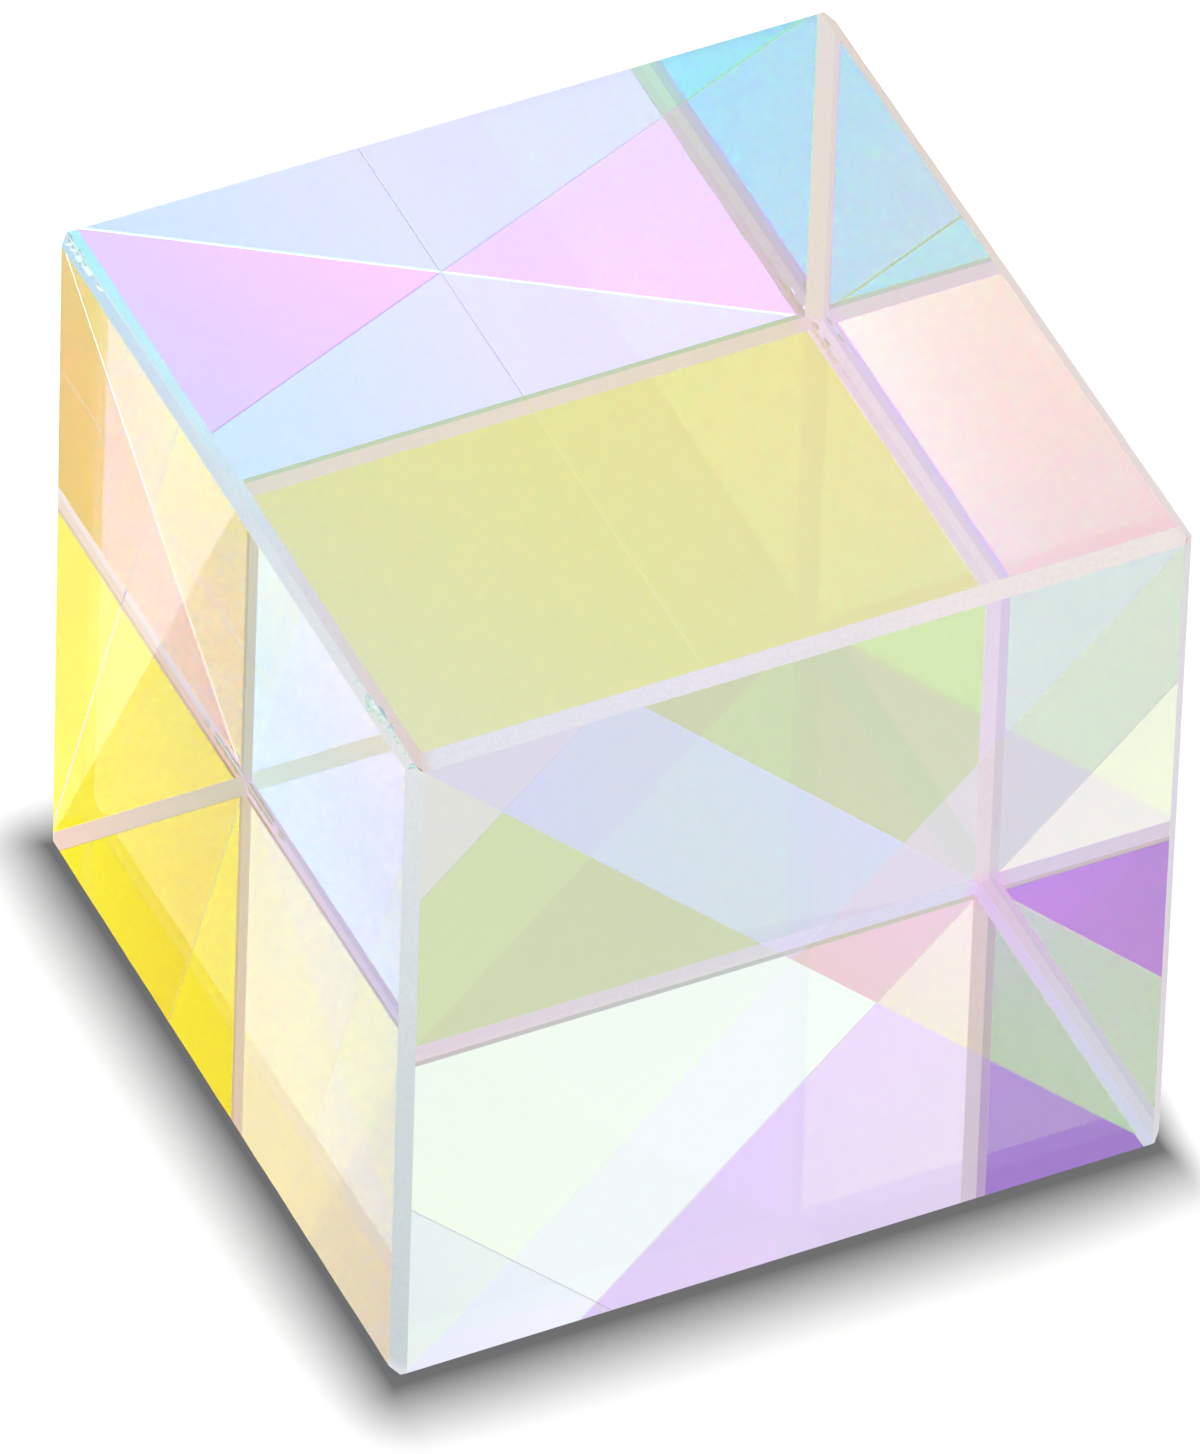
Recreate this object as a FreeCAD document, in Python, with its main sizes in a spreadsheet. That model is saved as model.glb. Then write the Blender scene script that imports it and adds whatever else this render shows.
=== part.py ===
"""Cross dichroic prism: a glass cube cemented from four equal right-angle prisms.

Millimetres, +Z up, origin at the centre of the cube's underside. The prisms all run along Y, with
their right-angle edges together on the cube's middle axis, so the two joint planes show as an X on
the front and back faces. One joint runs from corner to corner: it holds a whole reflecting coating
and a whole cement film. The other joint crosses it, so its coating and its cement are two halves.
Every outer edge has a ground bevel, and the prisms' ends have a fine bevel along the joints, which
leaves a hairline groove that draws the X.
"""
import FreeCAD, Part
import os

import Sketcher

ROUND = 1e-4

SIZES = {
    "side": (25.0, "length of each edge of the cube"),
    "long_bevel": (0.50, "bevel along the four long edges, where two prisms meet, measured on a face"),
    "end_bevel": (0.40, "bevel round the front and back faces, measured on a face"),
    "seam_bevel": (0.04, "fine bevel on each prism's end, along its two joints"),
    "coating_thickness": (0.01, "thickness of a reflecting coating"),
    "cement_thickness": (0.02, "thickness of a cement film"),
}

LONG_BEVEL = "Sizes.long_bevel"
JOINT = "(Sizes.coating_thickness + Sizes.cement_thickness)"
HALF_SIDE = "Sizes.side / 2"
CORNER_CUT = "(Sizes.end_bevel - Sizes.long_bevel / 2 - Sizes.seam_bevel)"
DIAGONAL_END = "(Sizes.side - Sizes.long_bevel) / sqrt(2)"

doc = FreeCAD.newDocument("CrossPrism")


def add_sizes():
    """The spreadsheet of driving dimensions: a plain number, its alias and what it measures."""
    sheet = doc.addObject("Spreadsheet::Sheet", "Sizes")
    for row, (name, (value, meaning)) in enumerate(SIZES.items(), start=1):
        sheet.set(f"A{row}", name)
        sheet.set(f"B{row}", str(value))
        sheet.set(f"C{row}", meaning)
        sheet.setAlias(f"B{row}", name)
    doc.recompute()
    return sheet


def value(name):
    """The number that a cell of the spreadsheet holds."""
    return float(doc.Sizes.get(name))


def add_body(label):
    body = doc.addObject("PartDesign::Body", label)
    body.Label = label
    return body


def add_sketch(body, name, plane):
    """An empty sketch on one of the body's own origin planes."""
    sketch = body.newObject("Sketcher::SketchObject", name)
    origin_plane = next(f for f in body.Origin.OriginFeatures if f.Role == plane)
    sketch.AttachmentSupport = [(origin_plane, "")]
    sketch.MapMode = "FlatFace"
    return sketch


def add_outline(sketch, corners):
    """Joins the corners into a closed outline.

    Each corner is (x, y, x rule, y rule): a rough place, and the expressions that fix it. A rule
    that is the text "0" puts the corner on that axis of the sketch.
    """
    first = sketch.GeometryCount
    count = len(corners)
    for i in range(count):
        here = FreeCAD.Vector(corners[i][0], corners[i][1], 0)
        there = FreeCAD.Vector(corners[(i + 1) % count][0], corners[(i + 1) % count][1], 0)
        sketch.addGeometry(Part.LineSegment(here, there), False)
    for i in range(count):
        sketch.addConstraint(Sketcher.Constraint("Coincident", first + i, 2, first + (i + 1) % count, 1))
    for i, (x, y, x_rule, y_rule) in enumerate(corners):
        for axis, rough, rule, axis_line in (("DistanceX", x, x_rule, -2), ("DistanceY", y, y_rule, -1)):
            if rule == "0":
                sketch.addConstraint(Sketcher.Constraint("PointOnObject", first + i, 1, axis_line))
                continue
            index = sketch.addConstraint(Sketcher.Constraint(axis, -1, 1, first + i, 1, rough))
            sketch.setExpression(f"Constraints[{index}]", rule)


def place(body, turn_deg, offset_rule):
    """Turns a body about Y and sets it at the cube's middle.

    offset_rule moves it along its own turned Z, which is across the joint for a layer.
    """
    turn = FreeCAD.Rotation(FreeCAD.Vector(0, 1, 0), turn_deg)
    body.Placement = FreeCAD.Placement(FreeCAD.Vector(0, 0, 0), turn)
    across = turn.multVec(FreeCAD.Vector(0, 0, 1))
    body.setExpression("Placement.Base.x", f"({offset_rule}) * {across.x:.12f}")
    body.setExpression("Placement.Base.z", f"{HALF_SIDE} + ({offset_rule}) * {across.z:.12f}")


def end_edges(shape, half_side):
    """Names of the edges where a prism's two joint faces meet its polished ends."""
    names = []
    for number, edge in enumerate(shape.Edges, start=1):
        ends = [v.Point for v in edge.Vertexes]
        on_end = all(abs(abs(p.y) - half_side) < ROUND for p in ends)
        slopes = abs(ends[0].x - ends[1].x) > ROUND and abs(ends[0].z - ends[1].z) > ROUND
        if on_end and slopes:
            names.append(f"Edge{number}")
    return names


def add_prism(label, turn_deg):
    """A right-angle prism, drawn as the top one: right-angle edge down, longest face up.

    Its two acute edges carry half of the cube's long bevel each. Both ends carry the end bevel
    along the longest face, and the neighbour's end bevel where it runs out over the acute edge.
    """
    body = add_body(label)
    half = value("side") / 2
    bevel = value("long_bevel")
    end = value("end_bevel")
    gap = (value("coating_thickness") + value("cement_thickness")) / 2**0.5

    profile = add_sketch(body, label + "_profile", "XZ_Plane")
    tip_x = f"(Sizes.side - Sizes.long_bevel - {JOINT} / sqrt(2)) / 2"
    tip_y = f"(Sizes.side - Sizes.long_bevel + {JOINT} / sqrt(2)) / 2"
    face_x = f"{HALF_SIDE} - {LONG_BEVEL}"
    tip = ((2 * half - bevel - gap) / 2, (2 * half - bevel + gap) / 2)
    add_outline(profile, [
        (0, gap, "0", f"{JOINT} / sqrt(2)"),
        (tip[0], tip[1], tip_x, tip_y),
        (half - bevel, half, face_x, HALF_SIDE),
        (bevel - half, half, f"-({face_x})", HALF_SIDE),
        (-tip[0], tip[1], f"-({tip_x})", tip_y),
    ])
    block = body.newObject("PartDesign::Pad", label + "_block")
    block.Profile = profile
    block.Midplane = True
    block.setExpression("Length", "Sizes.side")
    doc.recompute()

    for name, plane in (("face_bevel", "YZ_Plane"), ("edge_bevel", "XY_Plane")):
        corner_cut = add_sketch(body, f"{label}_{name}_profile", plane)
        heights = (1,) if plane == "YZ_Plane" else (1, -1)
        for side_x in (1, -1):
            for side_y in heights:
                add_corner_triangle(corner_cut, side_x, side_y, half, end)
        pocket = body.newObject("PartDesign::Pocket", f"{label}_{name}")
        pocket.Profile = corner_cut
        pocket.Type = "ThroughAll"
        pocket.Midplane = True
        doc.recompute()

    seam = body.newObject("PartDesign::Chamfer", label + "_seam_bevel")
    seam.Base = (pocket, end_edges(pocket.Shape, half))
    seam.setExpression("Size", "Sizes.seam_bevel")
    body.Tip = seam
    place(body, turn_deg, "0")
    return body


def add_corner_triangle(sketch, side_x, side_y, half, end):
    """The triangle that an end bevel takes off one corner of the cube's square outline.

    Its slant is the bevel's own line, run on past both faces so that the cut leaves no skin.
    """
    def rule(sign, text):
        return text if sign > 0 else f"-({text})"

    inner = f"{HALF_SIDE} - 2 * Sizes.end_bevel"
    outer = f"{HALF_SIDE} + Sizes.end_bevel"
    near, far = half - 2 * end, half + end
    add_outline(sketch, [
        (side_x * near, side_y * far, rule(side_x, inner), rule(side_y, outer)),
        (side_x * far, side_y * near, rule(side_x, outer), rule(side_y, inner)),
        (side_x * far, side_y * far, rule(side_x, outer), rule(side_y, outer)),
    ])


def add_layer(label, thickness, turn_deg, offset_rule, whole):
    """A coating or cement film: a thin plate in one joint, its corners cut by the end bevels.

    Its own X runs along the joint towards a long edge, Y along the cube and Z across the joint.
    A whole plate spans both ways from the middle. A half starts at the face of the whole joint.
    """
    body = add_body(label)
    reach = (value("side") - value("long_bevel")) / 2**0.5
    depth = value("side") / 2 - value("seam_bevel")
    cut = value("end_bevel") - value("long_bevel") / 2 - value("seam_bevel")
    start = (value("coating_thickness") + value("cement_thickness")) / 2
    depth_rule = f"({HALF_SIDE} - Sizes.seam_bevel)"
    long_cut_rule = f"({DIAGONAL_END} - sqrt(2) * {CORNER_CUT})"
    short_cut_rule = f"({depth_rule} - {CORNER_CUT})"
    long_cut = reach - 2**0.5 * cut

    def far_end(sign):
        """The four corners at one end of the plate, in order round the outline."""
        flip = "" if sign > 0 else "-"
        return [
            (sign * long_cut, -sign * depth, flip + long_cut_rule, ("-" if sign > 0 else "") + depth_rule),
            (sign * reach, -sign * (depth - cut), f"{flip}({DIAGONAL_END})",
             ("-" if sign > 0 else "") + short_cut_rule),
            (sign * reach, sign * (depth - cut), f"{flip}({DIAGONAL_END})", flip + short_cut_rule),
            (sign * long_cut, sign * depth, flip + long_cut_rule, flip + depth_rule),
        ]

    corners = far_end(1)
    if whole:
        corners += far_end(-1)
    else:
        corners += [
            (start, depth, f"{JOINT} / 2", depth_rule),
            (start, -depth, f"{JOINT} / 2", "-" + depth_rule),
        ]
    outline = add_sketch(body, label + "_outline", "XY_Plane")
    add_outline(outline, corners)
    plate = body.newObject("PartDesign::Pad", label + "_plate")
    plate.Profile = outline
    plate.setExpression("Length", f"Sizes.{thickness}")
    place(body, turn_deg, offset_rule)
    return body


add_sizes()

# The four glass prisms, each the same piece turned about the middle axis.
prisms = [
    add_prism("top_prism", 0),
    add_prism("right_prism", 90),
    add_prism("bottom_prism", 180),
    add_prism("left_prism", -90),
]

# The whole joint runs from the top left edge to the bottom right one. Its coating lies on the
# upper pair of prisms, and the cement below it holds the two pairs together.
UPPER_SIDE = f"{JOINT} / 2 - Sizes.coating_thickness"
LOWER_SIDE = f"-{JOINT} / 2"
ABOVE_COATING = f"-{JOINT} / 2 + Sizes.coating_thickness"
layers = [
    add_layer("whole_coating", "coating_thickness", 45, UPPER_SIDE, True),
    add_layer("whole_cement", "cement_thickness", 45, LOWER_SIDE, True),
]

# The crossing joint is made in halves, one in each pair, with the coating on the left prism of each.
layers += [
    add_layer("upper_half_coating", "coating_thickness", -45, UPPER_SIDE, False),
    add_layer("upper_half_cement", "cement_thickness", -45, LOWER_SIDE, False),
    add_layer("lower_half_coating", "coating_thickness", 135, LOWER_SIDE, False),
    add_layer("lower_half_cement", "cement_thickness", 135, ABOVE_COATING, False),
]

doc.recompute()

failed = [o.Label for o in doc.Objects if "Invalid" in o.State or "Error" in o.State]
for body in prisms + layers:
    if body.Shape.isNull() or not body.Shape.isValid() or len(body.Shape.Solids) != 1:
        failed.append(body.Label)
if failed:
    raise RuntimeError(f"these did not build: {sorted(set(failed))}")

os.makedirs("parts", exist_ok=True)
for body in prisms + layers:
    body.Shape.exportStep(os.path.join("parts", body.Label + ".step"))
    print(body.Label, round(body.Shape.Volume, 4), "mm3")
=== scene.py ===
"""Dichroic cross prism: the looks of a glass cube cemented from four right-angle prisms.

The prisms are rebuilt as closed surfaces whose polished faces refract, whose bevels are ground
and whose cemented faces let light pass. The two crossed coatings keep the frame's plates and
split the light by colour and by angle. Most colours seen in the cube come from that; the ground
bevels and the chips also carry painted light, coloured light painted into their colour.
"""

import math

import bmesh
import bpy
import numpy as np
from bpy.props import FloatProperty, FloatVectorProperty, PointerProperty
from mathutils import Matrix, Vector


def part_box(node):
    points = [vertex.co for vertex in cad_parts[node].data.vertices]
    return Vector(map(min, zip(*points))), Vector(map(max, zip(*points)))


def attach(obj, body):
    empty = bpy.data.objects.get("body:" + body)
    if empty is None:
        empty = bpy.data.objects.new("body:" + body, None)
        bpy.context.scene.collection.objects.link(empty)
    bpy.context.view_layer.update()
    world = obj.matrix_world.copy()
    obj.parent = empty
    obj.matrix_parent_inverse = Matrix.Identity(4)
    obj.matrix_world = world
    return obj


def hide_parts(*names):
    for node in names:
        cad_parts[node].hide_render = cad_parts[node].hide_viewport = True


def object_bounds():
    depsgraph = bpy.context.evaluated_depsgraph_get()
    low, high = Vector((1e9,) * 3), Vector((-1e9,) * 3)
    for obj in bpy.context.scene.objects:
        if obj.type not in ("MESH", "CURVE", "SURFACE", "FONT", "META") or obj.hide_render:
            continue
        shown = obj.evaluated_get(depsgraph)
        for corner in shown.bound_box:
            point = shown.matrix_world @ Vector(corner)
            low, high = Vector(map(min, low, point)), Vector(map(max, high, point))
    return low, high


bl_info = {
    "name": "Dichroic cross prism",
    "version": (1, 0, 0),
    "blender": (4, 5, 0),
    "location": "View3D > Sidebar > Prism",
    "description": "Glass, coatings and studio for a cemented cross prism",
    "category": "Object",
}

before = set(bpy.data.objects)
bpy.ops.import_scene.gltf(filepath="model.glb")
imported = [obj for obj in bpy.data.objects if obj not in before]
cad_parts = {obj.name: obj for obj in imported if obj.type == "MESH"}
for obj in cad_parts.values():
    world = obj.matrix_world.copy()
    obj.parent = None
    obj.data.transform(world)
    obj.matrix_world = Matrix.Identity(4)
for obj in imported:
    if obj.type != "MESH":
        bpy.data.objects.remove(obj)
CAD_BOX = [list(corner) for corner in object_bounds()]

MM = 0.001
SIDE = CAD_BOX[1][0] - CAD_BOX[0][0]
HALF = SIDE / 2
JOINT = 0.03 * MM
LONG_BEVEL = SIDE - (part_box("top_prism")[1].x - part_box("top_prism")[0].x) - JOINT / math.sqrt(2)
MIDDLE = Vector((0, 0, HALF))
GLASS_INDEX = 1.5168

# How often a ray may be mirrored or refracted, and how many faces of the joints it may pass.
BOUNCES_IN_GLASS = 9
JOINT_FACES_PASSED = 60

# Each prism: how far it is turned about the cube's middle axis, from the one with its long face up.
PRISM_TURNS = {"top_prism": 0, "right_prism": 90, "bottom_prism": 180, "left_prism": 270}

# Order of the materials on a prism.
LONG_FACE, FRONT_END, BACK_END, GROUND, CEMENTED, CHIP = range(6)

# Tint of the crossing coating, where the whole joint's films keep it from a ray: which rays these are,
# by their height above the middle axis and by one minus the cosine of their slant.
CROSSING_TINT = (0.88, 0.92, 0.42)
CROSSING_HEIGHT = 0.040 * MM
CROSSING_REACH = 0.025 * MM
CROSSING_FACING = 0.528
CROSSING_SPREAD = 0.05

# Middle of each coating's plate, measured from the middle of its joint.
COATING_HEIGHT = 0.010 * MM

# How far the films stop short of the end faces, where the prisms close over them, and how steeply.
FILM_INSET = 0.04 * MM
FILM_STEP = 0.002 * MM

# The prisms' grid: columns across each ground bevel and each long face, rows over the stretch with the
# chips at each end and over the rest, and how close points have to be to become one.
STRIPS = 10
FACE_COLUMNS = 49
CHIP_STRETCH = 5.2 * MM
CHIP_ROWS = 120
PLAIN_ROWS = 26
WELD_DISTANCE = 1e-8

# Depth from which a chip shows as a break, and how fine the ripples in it and the ground grain are.
BREAK_DEPTH = 0.004 * MM
RIPPLE_SCALE = 6000
GRAIN_SCALE = 9000

# Chips along the seam at the upper left edge, by prism and side of its section: place along Y, half
# length, half width and depth.
CHIPS = {
    "left_prism": {1: (
        (12.00 * MM, 0.19 * MM, 0.17 * MM, 0.11 * MM),
        (11.68 * MM, 0.15 * MM, 0.14 * MM, 0.09 * MM),
        (11.33 * MM, 0.27 * MM, 0.17 * MM, 0.12 * MM),
        (10.72 * MM, 0.33 * MM, 0.15 * MM, 0.11 * MM),
        (9.83 * MM, 0.20 * MM, 0.09 * MM, 0.05 * MM),
        (-8.44 * MM, 0.13 * MM, 0.10 * MM, 0.06 * MM),
        (-9.44 * MM, 0.47 * MM, 0.24 * MM, 0.15 * MM),
        (-10.04 * MM, 0.24 * MM, 0.16 * MM, 0.11 * MM),
        (-10.58 * MM, 0.13 * MM, 0.10 * MM, 0.06 * MM),
        (-11.04 * MM, 0.15 * MM, 0.10 * MM, 0.07 * MM),
        (-11.70 * MM, 0.11 * MM, 0.08 * MM, 0.05 * MM),
        (-12.30 * MM, 0.17 * MM, 0.24 * MM, 0.12 * MM))},
    "top_prism": {-1: (
        (12.05 * MM, 0.14 * MM, 0.07 * MM, 0.06 * MM),
        (11.30 * MM, 0.20 * MM, 0.06 * MM, 0.05 * MM),
        (-9.90 * MM, 0.30 * MM, 0.07 * MM, 0.06 * MM),
        (-10.55 * MM, 0.12 * MM, 0.05 * MM, 0.04 * MM))},
}

# Tints of the ground bevels by prism and edge, as seen from outside, then through the glass: the pale
# ground glass with painted light, the coloured light from the coatings that a bevel scatters, painted into
# its colour.
BEVEL_TINTS_AND_PAINTED_LIGHT = {
    "top_prism": {
        "left": (((0.79, 0.66, 0.64), (0.72, 0.74, 0.80), (0.62, 0.88, 1.0), (0.45, 0.97, 1.0)),
                 ((0.96, 0.85, 1.0), (1.0, 0.82, 1.0))),
        "front": (((0.80, 0.83, 0.90), (0.84, 0.82, 0.92), (0.90, 0.83, 0.84), (0.93, 0.84, 0.80)),
                  ((0.85, 0.85, 0.90),)),
        "back": (((0.80, 0.83, 0.92),), ((0.98, 0.82, 0.92), (0.98, 0.86, 0.97))),
        "right": (((0.92, 0.80, 0.80), (0.90, 0.74, 0.66)), ((0.98, 0.80, 0.85),)),
    },
    "left_prism": {
        "right": (((0.80, 0.81, 0.80), (0.76, 0.81, 0.86), (0.66, 0.80, 0.93), (0.55, 0.80, 1.0)),
                  ((1.0, 0.86, 1.0), (1.0, 0.82, 1.0))),
        "front": (((0.60, 0.67, 0.69), (0.66, 0.73, 0.75), (0.76, 0.79, 0.82)), ((0.85, 0.85, 0.90),)),
        "back": (((0.85, 0.85, 0.90),), ((1.0, 0.84, 0.98), (1.0, 0.72, 0.72))),
        "left": (((0.80, 0.82, 0.86),), ((0.80, 0.80, 0.92),)),
    },
    "right_prism": {
        "back": (((0.86, 0.85, 0.90),), ((0.98, 0.80, 0.86), (0.98, 0.84, 0.92))),
        "left": (((0.92, 0.80, 0.80), (0.90, 0.74, 0.66)), ((0.98, 0.80, 0.85),)),
        "right": (((0.86, 0.85, 0.90),), ((0.84, 0.88, 0.97), (0.88, 0.84, 0.97), (1.0, 0.70, 0.97))),
        "front": (((0.88, 0.84, 0.90),), ((0.85, 0.85, 0.90),)),
    },
    "bottom_prism": {
        "left": (((0.86, 0.85, 0.90),), ((0.84, 0.88, 0.97), (0.88, 0.84, 0.97), (1.0, 0.68, 1.0))),
        "back": (((0.86, 0.85, 0.90),), ((0.80, 0.90, 0.96), (1.0, 0.74, 0.84))),
    },
}

# Which way each coating faces, across its joint.
WHOLE_ACROSS = Vector((1, 0, 1)).normalized()
HALVES_ACROSS = Vector((-1, 0, 1)).normalized()

# Cosines between a ray in the glass and a face's axis at which inside reflections are tinted.
TINT_SLANTS = (0.211, 0.453, 0.781, 0.876)

# Angles of incidence in the glass at which each coating's colours are given.
COATING_ANGLES = (29.1, 39.6, 62.0, 76.8, 80.3)

# What each coating passes and mirrors at these angles. A row has the colour at the plate's middle, then
# its drift along Y and along the joint, as the logarithm of the change from the middle to the end. They
# and the tables below were fitted, so that rays traced through the cube show the photograph's colours.
WHOLE_PASSED = (
    ((0.47, 0.56, 0.91), (-0.02, -0.16, 0.0), (-0.28, -0.25, 0.1)),
    ((0.12, 0.8, 0.49), (0.01, 0.1, -0.08), (0.29, -0.12, -0.06)),
    ((0.4, 0.15, 0.71), (0.19, 0.09, 0.17), (-0.3, -0.13, -0.16)),
    ((0.15, 0.02, 0.0), (0.39, 0.03, -0.05), (-0.26, 0.04, 0.03)),
    ((0.64, 0.0, 0.43), (0.07, 0.01, 0.02), (0.08, 0.0, -0.4)),
)
WHOLE_MIRRORED = (
    ((0.65, 0.51, 0.0), (-0.02, -0.01, 0.0), (-0.27, -0.16, -0.02)),
    ((0.81, 0.13, 0.51), (0.06, -0.14, -0.05), (-0.1, 0.13, 0.4)),
    ((0.56, 0.8, 0.25), (-0.17, -0.07, -0.4), (0.0, 0.0, 0.29)),
    ((0.7, 0.87, 0.9), (-0.19, 0.03, 0.12), (0.04, 0.03, 0.0)),
    ((0.35, 1.0, 0.67), (-0.07, 0.0, 0.01), (-0.14, 0.0, 0.32)),
)
HALVES_PASSED = (
    ((0.54, 0.51, 0.0), (0.19, 0.31, -0.25), (-0.4, -0.36, 0.32)),
    ((0.66, 0.55, 0.0), (0.22, 0.12, 0.01), (-0.15, 0.1, -0.01)),
    ((0.83, 0.95, 0.52), (0.0, -0.02, -0.04), (-0.07, -0.03, 0.01)),
    ((0.42, 0.41, 0.55), (-0.02, -0.04, -0.05), (0.0, 0.0, 0.04)),
    ((0.43, 0.67, 0.35), (0.0, -0.01, 0.02), (0.11, 0.19, -0.04)),
)
HALVES_MIRRORED = (
    ((0.43, 0.48, 1.0), (0.24, 0.17, 0.0), (-0.01, 0.26, 0.01)),
    ((0.25, 0.44, 0.77), (-0.4, -0.03, 0.03), (0.36, -0.21, 0.08)),
    ((0.16, 0.06, 0.55), (-0.07, 0.05, 0.04), (0.3, 0.01, 0.15)),
    ((0.57, 0.59, 0.45), (-0.02, -0.05, 0.0), (0.0, 0.0, 0.0)),
    ((0.53, 0.3, 0.64), (-0.01, 0.0, 0.06), (0.17, 0.09, -0.09)),
)

# Tints of inside reflections at each of the slants above, by prism.
FRONT_END_TINTS = {
    "top_prism": ((1.0, 1.0, 1.0), (0.98, 0.95, 0.6), (0.99, 0.99, 0.87), (1.0, 1.0, 1.0)),
    "bottom_prism": ((1.0, 1.0, 1.0), (0.95, 0.84, 1.0), (0.95, 0.96, 1.0), (1.0, 1.0, 1.0)),
    "left_prism": ((1.0, 1.0, 1.0), (0.98, 0.98, 0.8), (0.96, 0.84, 0.78), (1.0, 1.0, 1.0)),
    "right_prism": ((1.0, 1.0, 1.0), (0.97, 0.97, 1.0), (0.95, 0.85, 0.98), (1.0, 1.0, 1.0)),
}
BACK_END_TINTS = {
    "top_prism": ((0.65, 0.99, 0.79), (0.97, 1.0, 0.69), (1.0, 0.96, 1.0), (0.78, 0.6, 0.78)),
    "bottom_prism": ((0.66, 1.0, 0.78), (0.98, 1.0, 1.0), (0.93, 0.8, 0.9), (0.99, 0.99, 1.0)),
    "left_prism": ((0.92, 0.89, 0.74), (1.0, 0.95, 0.75), (0.96, 0.82, 0.69), (0.6, 1.0, 0.79)),
    "right_prism": ((0.78, 1.0, 0.93), (0.92, 0.82, 0.82), (0.99, 0.85, 0.93), (0.85, 1.0, 1.0)),
}
LONG_FACE_TINTS = {
    "left_prism": ((0.99, 0.92, 0.72), (0.74, 0.85, 0.69), (1.0, 1.0, 1.0), (1.0, 0.96, 0.78)),
    "right_prism": ((0.86, 0.91, 0.96), (1.0, 0.89, 0.41), (0.95, 0.86, 0.98), (0.87, 0.89, 1.0)),
    "bottom_prism": ((0.69, 0.59, 0.89), (0.82, 0.87, 0.87), (1.0, 1.0, 1.0), (0.94, 1.0, 1.0)),
    "top_prism": ((1.0, 0.9, 1.0), (1.0, 1.0, 1.0), (1.0, 0.91, 0.54), (1.0, 0.95, 0.97)),
}

# Light of the studio that only the glass shows: the way to it and its strength, the strength elsewhere,
# and the half angles within which a light is full and beyond which it has faded.
STUDIO_LOBES = (
    ("above the camera", (-0.32, -0.65, 0.69), 0.09),
    ("high at the front right", (0.32, -0.66, 0.68), 1.85),
    ("high at the back left", (-0.31, 0.66, 0.69), 0.99),
    ("high at the back right", (0.31, 0.66, 0.68), 1.17),
    ("low at the front left", (-0.69, -0.65, 0.32), 5.0),
    ("low at the front right", (0.68, -0.66, 0.32), 0.08),
    ("low at the back left", (-0.69, 0.66, 0.31), 0.15),
    ("low at the back right", (0.68, 0.66, 0.31), 1.14),
)
STUDIO_ELSEWHERE = 0.9
LOBE_CORE = math.radians(9)
LOBE_BORDER = math.radians(18)

# Strength of the floor seen through the glass, by side of the cube, and that of the far floor.
FLOOR_THROUGH_GLASS = {"beneath": 1.08, "front": 0.35, "back": 0.75, "left": 0.08, "right": 0.69}
FLOOR_FAR_OFF = 0.9
FLOOR_NEARER_THAN = 70 * MM
FLOOR_FURTHER_THAN = 100 * MM
FLOOR_TO_SCATTERED_RAYS = 0.85
PAPER_GLOW = 0.42
GLOW_LOST_IN_SHADE = 0.9

# Contact shade: how much a distance counts on each side of the cube, how far it reaches and how it falls.
SHADE_WEIGHTS = {"left": 1.14, "right": 2.4, "front": 0.84, "back": 1.3}
SHADE_REACH = 3.2 * MM
SHADE_FALL = 1.3


def colour_property(name, description, default):
    """A colour that a user can change."""
    return FloatVectorProperty(name=name, description=description, default=default, size=3,
                               subtype="COLOR", min=0.0, max=1.0)


def angle_colours(verb, rows):
    """A colour property for each angle of a coating's table, named after the angle."""
    return {f"{verb}_{int(angle)}": colour_property(
        f"{verb.capitalize()} at {angle} degrees", f"Light {verb} at this angle of incidence", row[0])
        for angle, row in zip(COATING_ANGLES, rows)}


class PrismSettings(bpy.types.PropertyGroup):
    """Sizes of the ground edges, their wear, their colour and the painted light on the chips."""

    end_bevel: FloatProperty(name="End bevel", description="Bevel round the front and back faces",
                             default=0.40 * MM, unit="LENGTH", precision=5)
    seam_bevel: FloatProperty(name="Seam bevel", description="Fine bevel along the joints on the back face",
                              default=0.012 * MM, unit="LENGTH", precision=6)
    front_seam: FloatProperty(name="Front seam bevel", description="The same on the front face",
                              default=0.001 * MM, unit="LENGTH", precision=6)
    joint_gap: FloatProperty(name="Joint gap", description="Coating and cement between two prisms",
                             default=0.032 * MM, unit="LENGTH", precision=6)
    bevel_waver: FloatProperty(name="Bevel waver", description="How far a ground bevel's border wanders",
                               default=0.018 * MM, unit="LENGTH", precision=6)
    # Plain pale colour for bevels whose tint and painted light aren't listed.
    bevel_colour: colour_property("Bevel", "Bevels with no tint of their own", (0.86, 0.85, 0.88))
    # Painted light on the chips: a pale bluish glint painted in as their diffuse colour.
    chip_painted_light: colour_property("Chips", "Pale light that the chips catch", (0.62, 0.93, 0.97))


class WholeCoatingSettings(bpy.types.PropertyGroup):
    """What the coating on the whole joint passes and mirrors, by angle of incidence."""

    __annotations__ = angle_colours("passed", WHOLE_PASSED) | angle_colours("mirrored", WHOLE_MIRRORED)


class HalvesCoatingSettings(bpy.types.PropertyGroup):
    """What the coating in two halves passes and mirrors, by angle of incidence."""

    __annotations__ = angle_colours("passed", HALVES_PASSED) | angle_colours("mirrored", HALVES_MIRRORED)


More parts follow.
